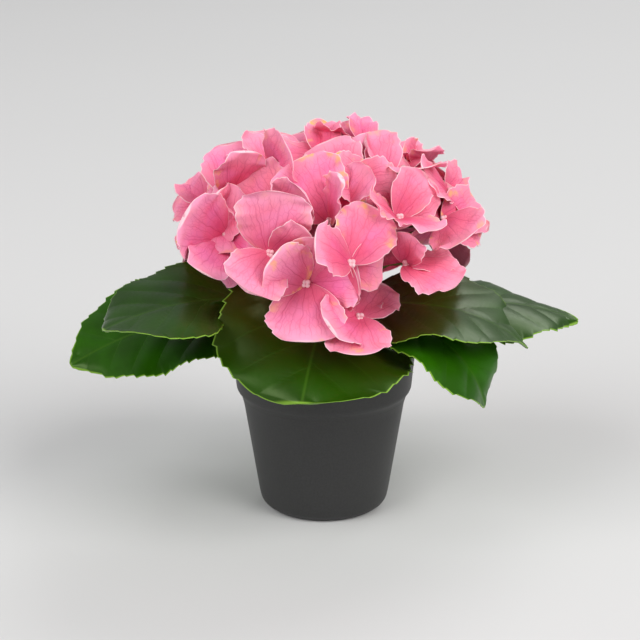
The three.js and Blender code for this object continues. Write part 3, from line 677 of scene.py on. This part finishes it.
def petal_cloth():
    """Dyed polyester cloth, hot-pressed: a matt face with a soft bloom, veins pressed in and
    darker with dye, and a pale cut edge where the dye stops short."""
    sizes, colours = bpy.context.scene.hydrangea_sizes, bpy.context.scene.hydrangea_colours
    material, tree = new_material("pressed polyester petal cloth")
    (x, y, face), edge, (mauve, pale, stained), shifted = cloth_places(tree)
    wander = node(tree, NOISE, None, {"Vector": shifted, "Scale": 0.16, "Detail": 2.0})
    blotch = node(tree, NOISE, None, {"Vector": shifted, "Scale": 0.09, "Detail": 3.0})
    # Veins fan out from the heart: lines of even angle round a point behind it, which wander a
    # little, with finer ones between them further out.
    behind = node(tree, MATH, {"operation": "ADD"}, {0: y, 1: 5.0})
    angle = node(tree, MATH, {"operation": "ARCTAN2"}, {0: x, 1: behind})
    stray = node(tree, MATH, TIMES_ADD, {0: wander, 1: 0.17, 2: angle})
    # A net of the finest veins between them, its cells drawn out along the petal.
    drawn = node(tree, "ShaderNodeMapping", None, {"Vector": shifted, "Scale": (0.42, 0.24, 1.0)})
    cells = node(
        tree, "ShaderNodeTexVoronoi", {"feature": "DISTANCE_TO_EDGE"}, {"Vector": drawn, "Scale": 1.0})
    veins = node(tree, RANGE, None, {0: cells.outputs["Distance"], 1: 0.0, 2: 0.07, 3: 0.24, 4: 0.0})
    # Main and fine veins: how many, how sharp, and where they fade and from and to which share.
    for count, sharpness, start, end, at_start, at_end in (
            (8.0, 11.0, 2.0, 26.0, 0.95, 0.25), (19.0, 9.0, 4.0, 13.0, 0.0, 0.5)):
        spun = node(tree, MATH, TIMES, {0: stray, 1: count})
        fade = node(tree, RANGE, None, {0: y, 1: start, 2: end, 3: at_start, 4: at_end})
        shown = node(tree, MATH, TIMES, {0: thin_lines(tree, spun, sharpness), 1: fade})
        veins = node(tree, MATH, {"operation": "MAXIMUM"}, {0: veins, 1: shown})
    inner = node(tree, RANGE, {"interpolation_type": SMOOTH}, {0: edge, 1: 0.4, 2: 4.0, 3: 0.0, 4: 1.0})
    veins = node(tree, MATH, TIMES, {0: veins, 1: inner})
    # Yellow stains lie in spots near the edge, on some petals more than on others.
    near = node(tree, RANGE, {"interpolation_type": SMOOTH}, {0: edge, 1: 0.5, 2: 6.0, 3: 1.0, 4: 0.0})
    spots = node(tree, RANGE, None, {0: wander, 1: 0.53, 2: 0.66, 3: 0.0, 4: 1.0})
    stain = node(tree, MATH, TIMES, {0: near, 1: spots})
    stain = node(tree, MATH, TIMES, {0: stain, 1: stained})
    # Colour: coral to mauve by floret, in blotches; then redder patches, a paler tone by petal and towards
    # the edge, a deeper heart that is partly dye and partly painted shade where the petals meet, the veins,
    # the stains, the bare cut edge, and a deeper rose underside that is painted shade.
    mottle = node(tree, RANGE, None, {0: blotch, 1: 0.38, 2: 0.64, 3: -0.4, 4: 0.4})
    mauve = node(tree, MATH, {"operation": "ADD", "use_clamp": True}, {0: mauve, 1: mottle})
    base = node(tree, MIX, None, {0: mauve, 1: (*colours.coral, 1.0), 2: (*colours.mauve, 1.0)})
    rim = sizes.rim / MM
    base = dyed_and_shaded(tree, base, (
        (wander, 0.35, 0.7, 0.0, 0.4, LINEAR, "#f25f88"),
        (pale, 0.0, 1.0, 0.0, 0.4, LINEAR, "#feacb9"),
        (edge, 0.0, 9.0, 0.5, 0.0, SMOOTH, "#fdb2ca"),
        # Partly dye, partly painted shade: the petal deepens to crimson towards the heart, where the petals
        # meet.
        (y, 1.0, 20.0, 0.68, 0.0, SMOOTH, "#cc2256"),
        (veins, 0.0, 1.0, 0.0, 0.85, LINEAR, "#b81e55"),
        (stain, 0.0, 1.0, 0.0, 1.0, LINEAR, "#f6b968"),
        (edge, rim * 0.4, rim * 1.7, 0.7, 0.0, SMOOTH, "#ffe0e5"),
        # Painted shade: the underside of each petal is deepened to rose.
        (face, 0.1, -0.1, 0.0, 0.4, LINEAR, "#ee7096")))
    # The threads are too fine to show, so the weave's grain is drawn 0.9 mm wide.
    weave = node(tree, NOISE, None, {"Vector": shifted, "Scale": 1.1, "Detail": 2.0})
    relief = node(tree, MATH, TIMES_ADD, {0: weave, 1: 0.35, 2: veins})
    bump = node(tree, BUMP, {"invert": True}, {"Strength": 0.5, "Distance": 0.3 * MM, "Height": relief})
    add_surface(tree, {"Base Color": base, "Normal": bump, "Roughness": 0.6, "Specular IOR Level": 0.3})
    return material


def leaf_cloth():
    """Coated polyester leaf cloth: dark green with a brown flush at the base, a satin film that
    greys where it meets the light, a raised lime cut edge and a lime midrib."""
    colours = bpy.context.scene.hydrangea_colours
    material, tree = new_material("coated polyester leaf cloth")
    (x, y, face), edge, (flush, _, fresh), shifted = cloth_places(tree)
    cloud = node(tree, NOISE, None, {"Vector": shifted, "Scale": 0.045, "Detail": 3.0})
    # The film's own grain is too fine to show, so it is drawn 2 mm wide.
    grain = node(tree, NOISE, None, {"Vector": shifted, "Scale": 0.5, "Detail": 3.0})
    out = node(tree, MATH, {"operation": "ABSOLUTE"}, {0: x})
    # Side veins slant out from the midrib at their pitch, as the pleats of the blade do.
    slant = node(tree, MATH, TIMES_ADD, {0: out, 1: -VEIN_SLANT, 2: y})
    sign = node(tree, MATH, {"operation": "SIGN"}, {0: x})
    slant = node(tree, MATH, TIMES_ADD, {0: sign, 1: 1.5, 2: slant})
    slant = node(tree, MATH, TIMES, {0: slant, 1: np.pi / VEIN_PITCH})
    reach = node(tree, RANGE, None, {0: edge, 1: 2.0, 2: 14.0, 3: 0.0, 4: 1.0})
    veins = node(tree, MATH, TIMES, {0: thin_lines(tree, slant, 14.0), 1: reach})
    foot = node(tree, RANGE, {"interpolation_type": SMOOTH}, {0: y, 1: 18.0, 2: 66.0, 3: 1.0, 4: 0.0})
    foot = node(tree, MATH, TIMES, {0: foot, 1: flush})
    # Dye: darker clouds, the brown flush, the veins, the midrib, the cut edge and the underside.
    base = node(tree, MIX, None, {0: fresh, 1: (*colours.leaf, 1.0), 2: linear("#2f7400")})
    base = dyed_and_shaded(tree, base, (
        (cloud, 0.35, 0.65, 0.0, 0.55, LINEAR, "#143000"),
        (foot, 0.0, 1.0, 0.0, 1.0, LINEAR, "#3c2a06"),
        (veins, 0.0, 1.0, 0.0, 0.16, LINEAR, "#4c7a22"),
        (out, 0.15, 1.1, 0.4, 0.0, SMOOTH, "#47701c"),
        (edge, 0.15, 1.0, 0.9, 0.0, SMOOTH, "#86b338"),
        (face, 0.1, -0.1, 0.0, 0.75, LINEAR, "#5d7f3c")))
    rough = node(tree, RANGE, None, {0: grain, 1: 0.3, 2: 0.7, 3: 0.28, 4: 0.38})
    relief = node(tree, MATH, TIMES_ADD, {0: grain, 1: 0.25, 2: veins})
    bump = node(tree, BUMP, {"invert": True}, {"Strength": 0.25, "Distance": 0.3 * MM, "Height": relief})
    add_surface(tree, {
        "Base Color": base, "Normal": bump, "Roughness": rough,
        "Specular IOR Level": 0.42, "Specular Tint": (0.78, 1.0, 0.5, 1.0)})
    return material


def speckled(name, light, dark, grain_mm, roughness, bump_mm):
    """A moulded or coated surface: two near tones, as hex or as (r, g, b), in a faint grain of the
    given size, which also stands up a little and breaks the shine."""
    material, tree = new_material(name)
    light, dark = (linear(tone) if isinstance(tone, str) else (*tone, 1.0) for tone in (light, dark))
    where = node(tree, "ShaderNodeTexCoord").outputs["Object"]
    grain = node(tree, NOISE, None, {"Vector": where, "Scale": 1 / (grain_mm * MM), "Detail": 3.0})
    share = node(tree, RANGE, None, {0: grain, 1: 0.35, 2: 0.65, 3: 0.0, 4: 1.0})
    base = node(tree, MIX, None, {0: share, 1: light, 2: dark})
    bump = node(tree, BUMP, None, {"Strength": 0.4, "Distance": bump_mm * MM, "Height": grain})
    add_surface(tree, {"Base Color": base, "Normal": bump, "Roughness": roughness})
    return material


# ---- operators ----

class HYDRANGEA_OT_pot(bpy.types.Operator):
    """Makes the moulded pot with its collar"""

    bl_idname = "hydrangea.pot"
    bl_label = "Pot"

    def execute(self, context):
        rim, height, wall, foot, recess = (POT[key] for key in ("rim", "height", "wall", "foot", "recess"))
        collar_foot = height - POT["collar"]
        climb = collar_foot - POT["shoulder"]

        def body(at):
            return foot + (POT["body"] - foot) * at / climb

        # Up the outside from the middle of the underside, and down the inside to the floor.
        profile = rounded([
            (0.5, recess), (foot - 5.5, recess), (foot - 4.6, 0.0), (foot - 3.4, 0.0),
            (foot + 0.1, 2.6), (body(7.0), 7.0), (body(climb - 3), climb - 3),
            (POT["body"] + 0.9, climb + 1.3), (POT["collar_foot"], collar_foot),
            (rim, height), (rim - wall, height), (POT["collar_foot"] - wall, collar_foot),
            (body(climb) - wall, climb), (body(POT["floor"]) - wall, POT["floor"]), (0.5, POT["floor"])],
            POT["corner"])
        # Near-black moulded plastic with a soft sheen.  The mould's spark grain is too fine to
        # show, so it is drawn 0.9 mm wide.
        tone = tuple(context.scene.hydrangea_colours.pot)
        plastic = speckled("moulded polypropylene", tone, "#272727", 0.9, 0.48, 0.06)
        make_piece("pot_moulding", plain([lathe_grid(profile, 160)]), plastic, ["pot"])
        return {"FINISHED"}


class HYDRANGEA_OT_fill(bpy.types.Operator):
    """Makes the dark plug that holds the stem in the pot"""

    bl_idname = "hydrangea.fill"
    bl_label = "Plug"

    def execute(self, context):
        radius = POT["rim"] - FILL_GAP
        r = np.concatenate([np.linspace(0.4, radius, 48), np.full(8, radius)])
        drop = np.concatenate([np.zeros(48), np.linspace(1, FILL_DEPTH, 8)])
        points = lathe_grid(np.stack([r, FILL_TOP - drop], 1), 120)
        x, y = points[..., 0], points[..., 1]
        lumps = np.sin(x * 0.61 + 2 * np.sin(np.arctan2(y, x) * 3)) * np.sin(y * 0.53 + 1.3)
        lumps = lumps + 0.5 * np.sin(x * 1.7 + 0.4) * np.sin(y * 1.9)
        dome = 2.2 * (1 - (r / radius) ** 2)[:, None]
        points[..., 2] += np.where(drop[:, None] > 0, 0, 0.55 * lumps + dome)
        # Dark rigid foam, open-celled: dull, with a coarse crumb.
        foam = speckled("rigid foam plug", "#2b221b", "#18120d", 2.2, 0.95, 0.6)
        make_piece("plug", plain([points[::-1]]), foam, ["fill"])
        return {"FINISHED"}


class HYDRANGEA_OT_limbs(bpy.types.Operator):
    """Makes the stem and the boughs of coated wire"""

    bl_idname = "hydrangea.limbs"
    bl_label = "Stem and boughs"

    def execute(self, context):
        # Plastic-coated wire: dull green with a satin coat and a slow change of tone.
        wire = speckled("coated stem wire", "#55682c", "#3d4f1e", 3.0, 0.55, 0.15)
        z = np.linspace(STEM[0, 0], STEM[-1, 0], 40)
        radii = np.interp(z, *STEM.T) + 0.12 * np.sin(z * 1.1)
        path = np.stack([0.01 * (z - 60), 0 * z, z], 1)
        make_piece("stem_wire", plain([tube_grid(path, radii, 32)]), wire, ["stem"])
        for name, florets in all_masses().items():
            start, end, _ = forks(florets)
            path = curve([start, start * 0.5 + end * 0.5 + (0, 0, 0.8), end], 14)
            bough = name.replace("mass", "bough")
            grid = tube_grid(path, np.linspace(1.65, 1.1, 14), 14)
            make_piece(bough + "_wire", plain([grid]), wire, [bough])
        return {"FINISHED"}


def all_masses():
    """The florets of every mass, of both sides."""
    return {**FLORETS, **back_florets()}


def forks(florets):
    """Where a mass's bough starts and ends, and where its twigs part: set along the line from the
    stem's head to the middle of the mass's seats."""
    middle = np.mean([np.asarray(seat, float) for seat, *_ in florets], 0)
    way = middle - HEAD
    distance = np.linalg.norm(way)
    way = way / distance
    return HEAD + way * BOUGH_START, HEAD + way * distance * BOUGH_END, HEAD + way * distance * FORK


class HYDRANGEA_OT_twigs(bpy.types.Operator):
    """Makes the thin twigs, one to each floret, and the mass's own stem they part from"""

    bl_idname = "hydrangea.twigs"
    bl_label = "Twigs"

    def execute(self, context):
        # Thinner wire, whose coat is a paler, fresher green.
        wire = speckled("coated twig wire", "#6d7f3a", "#4c5f26", 2.0, 0.55, 0.1)
        for name, florets in all_masses().items():
            _, end, fork = forks(florets)
            grids = [tube_grid(curve([end - (fork - end) * 0.2, fork], 6), np.full(6, 1.25), 10)]
            for seat, face, _, _ in florets:
                seat = np.asarray(seat, float)
                out = direction(*face)
                knots = [
                    fork - (fork - end) * 0.1, fork + (fork - end) * 0.6,
                    seat - out * TWIG_BEND * 1.6, seat + out * 0.4]
                grids.append(tube_grid(curve(knots, 20), np.linspace(1.05, 0.75, 20), 8))
            make_piece(name.replace("mass", "twigs"), plain(grids), wire, ())
        return {"FINISHED"}


class HYDRANGEA_OT_blossom(bpy.types.Operator):
    """Makes the cloth petals of every mass"""

    bl_idname = "hydrangea.blossom"
    bl_label = "Blossom"

    def execute(self, context):
        cloth = petal_cloth()
        chance = seeded(41)
        for name, florets in all_masses().items():
            grids = floret_petals(florets, chance)
            make_piece(name.replace("mass", "blossom"), grids, cloth, [name])
        return {"FINISHED"}


class HYDRANGEA_OT_hearts(bpy.types.Operator):
    """Makes the four pale beads at the heart of every floret"""

    bl_idname = "hydrangea.hearts"
    bl_label = "Hearts"

    def execute(self, context):
        # Moulded plastic beads: pale pink, smooth, with a small soft highlight.
        plastic = speckled("moulded bead", "#f6cdd3", "#f0b4c0", 1.5, 0.45, 0.05)
        grids = []
        for florets in all_masses().values():
            for seat, face, _, _ in florets:
                out, right = direction(*face), direction(face[0] + 90, 0)
                up = np.cross(out, right)
                for a in np.radians(40 + 360 / BEADS * np.arange(BEADS)):
                    aside = (right * np.cos(a) + up * np.sin(a)) * BEAD_CIRCLE
                    centre = np.asarray(seat, float) + out * BEAD_RISE + aside
                    grids.append(bead_grid(centre, BEAD_RADIUS, out))
        make_piece("hearts", plain(grids), plastic, ())
        return {"FINISHED"}


class HYDRANGEA_OT_leaves(bpy.types.Operator):
    """Makes the toothed cloth leaves and their stalks"""

    bl_idname = "hydrangea.leaves"
    bl_label = "Leaves"

    def execute(self, context):
        cloth = leaf_cloth()
        stalks = []
        chance = seeded(17)
        for name, leaf in LEAVES.items():
            grid = leaf_grid(leaf, LEAF_FOLDS.get(name, UNFOLDED), chance)
            fresh = np.clip(1.9 - 7 * leaf.brown, 0, 1) * (0.8 + 0.2 * next(chance))
            tint = (leaf.brown, 0.5, fresh, next(chance))
            make_piece(name + "_cloth", [(*grid, tint)], cloth, [name])
            # The stalk starts 3 mm out and runs on, a little sunk, under a third of the blade.
            ends = np.array([3.0, leaf.stalk + leaf.length * 0.3]) / (leaf.stalk + leaf.length)
            rows = np.linspace(*(ends * MIDRIB_STEPS).astype(int), 24).astype(int)
            sunk = leaf_midrib(leaf)[0][rows] - np.array([0, 0, 0.9])
            stalks.append(tube_grid(sunk, np.linspace(1.9, 0.5, 24), 10))
        # The stalks' wire has a green between the stem's and the leaf's lime edge.
        wire = speckled("coated stalk wire", "#5f7d2c", "#47611f", 2.0, 0.5, 0.1)
        make_piece("stalks", plain(stalks), wire, ())
        return {"FINISHED"}


def turned_to(way):
    """Euler angles that turn -Z to a direction and keep +Y up."""
    return Vector(way).to_track_quat("-Z", "Y").to_euler()


def add_floor(scene):
    """A flat square, a fifth of a millimetre under the pot."""
    far = FLOOR_REACH
    mesh = bpy.data.meshes.new("floor")
    mesh.from_pydata([(-far, -far, 0), (far, -far, 0), (far, far, 0), (-far, far, 0)], [], [(0, 1, 2, 3)])
    # Matt background paper: even and dull, with tones a hair apart.
    material, tree = new_material("matt paper floor")
    where = node(tree, "ShaderNodeTexCoord").outputs["Object"]
    mottle = node(tree, NOISE, None, {"Vector": where, "Scale": 3.0, "Detail": 1.0})
    tone = tuple(scene.hydrangea_colours.floor)
    base = node(tree, MIX, None, {0: mottle, 1: (*tone, 1.0), 2: (*[c * 0.985 for c in tone], 1.0)})
    add_surface(tree, {"Base Color": base, "Roughness": 0.85, "Specular IOR Level": 0.2})
    mesh.materials.append(material)
    floor = bpy.data.objects.new("floor", mesh)
    floor.location.z = -0.2 * MM
    scene.collection.objects.link(floor)


def add_lights(scene):
    """Three large soft lamps round the plant, and an even, dim sky."""
    world = bpy.data.worlds.new("studio")
    world.use_nodes = True
    for number, value in enumerate(SKY):
        world.node_tree.nodes["Background"].inputs[number].default_value = value
    scene.world = world
    for name, place, size, power, tone in LAMPS:
        lamp = bpy.data.lights.new(name, "AREA")
        lamp.shape, lamp.size, lamp.energy, lamp.color = "DISK", size, power, tone
        light = bpy.data.objects.new(name, lamp)
        light.location = place
        light.rotation_euler = turned_to(AIM - np.array(place))
        scene.collection.objects.link(light)


def add_camera(scene):
    """A camera a metre from its aim, looking down on it at its tilt."""
    data = bpy.data.cameras.new("camera")
    data.sensor_width = CAMERA["sensor"]
    data.lens = CAMERA["sensor"] * CAMERA["focal"] / CAMERA["pixels"]
    data.shift_x, data.shift_y = (shift / CAMERA["pixels"] for shift in CAMERA["shift"])
    data.clip_start, data.clip_end = 0.01, 50
    camera = bpy.data.objects.new("camera", data)
    tilt = np.radians(CAMERA["tilt"])
    back = np.array([0, -np.cos(tilt), np.sin(tilt)])
    camera.location = AIM + back
    camera.rotation_euler = turned_to(-back)
    scene.collection.objects.link(camera)
    scene.camera = camera


class HYDRANGEA_OT_studio(bpy.types.Operator):
    """Makes the floor, the soft lights and the camera"""

    bl_idname = "hydrangea.studio"
    bl_label = "Studio"

    def execute(self, context):
        for add in (add_floor, add_lights, add_camera):
            add(context.scene)
        context.scene.view_settings.view_transform = "Standard"
        return {"FINISHED"}


class HYDRANGEA_PT_panel(bpy.types.Panel):
    """The pieces, sizes and colours in the sidebar"""

    bl_idname = "HYDRANGEA_PT_panel"
    bl_label = "Hydrangea"
    bl_space_type = "VIEW_3D"
    bl_region_type = "UI"
    bl_category = "Hydrangea"

    def draw(self, context):
        for group in (context.scene.hydrangea_sizes, context.scene.hydrangea_colours):
            for key in group.__annotations__:
                self.layout.prop(group, key)
        for operator in OPERATORS:
            self.layout.operator(operator.bl_idname)


OPERATORS = (
    HYDRANGEA_OT_pot, HYDRANGEA_OT_fill, HYDRANGEA_OT_limbs, HYDRANGEA_OT_twigs, HYDRANGEA_OT_leaves,
    HYDRANGEA_OT_blossom, HYDRANGEA_OT_hearts, HYDRANGEA_OT_studio)
CLASSES = (HydrangeaSizes, HydrangeaColours, *OPERATORS, HYDRANGEA_PT_panel)


def register():
    for cls in CLASSES:
        bpy.utils.register_class(cls)
    bpy.types.Scene.hydrangea_sizes = bpy.props.PointerProperty(type=HydrangeaSizes)
    bpy.types.Scene.hydrangea_colours = bpy.props.PointerProperty(type=HydrangeaColours)


def unregister():
    del bpy.types.Scene.hydrangea_colours
    del bpy.types.Scene.hydrangea_sizes
    for cls in reversed(CLASSES):
        bpy.utils.unregister_class(cls)


def main():
    register()
    for step in ("pot", "fill", "limbs", "twigs", "leaves", "blossom", "hearts", "studio"):
        getattr(bpy.ops.hydrangea, step)()


if __name__ == "__main__":
    main()
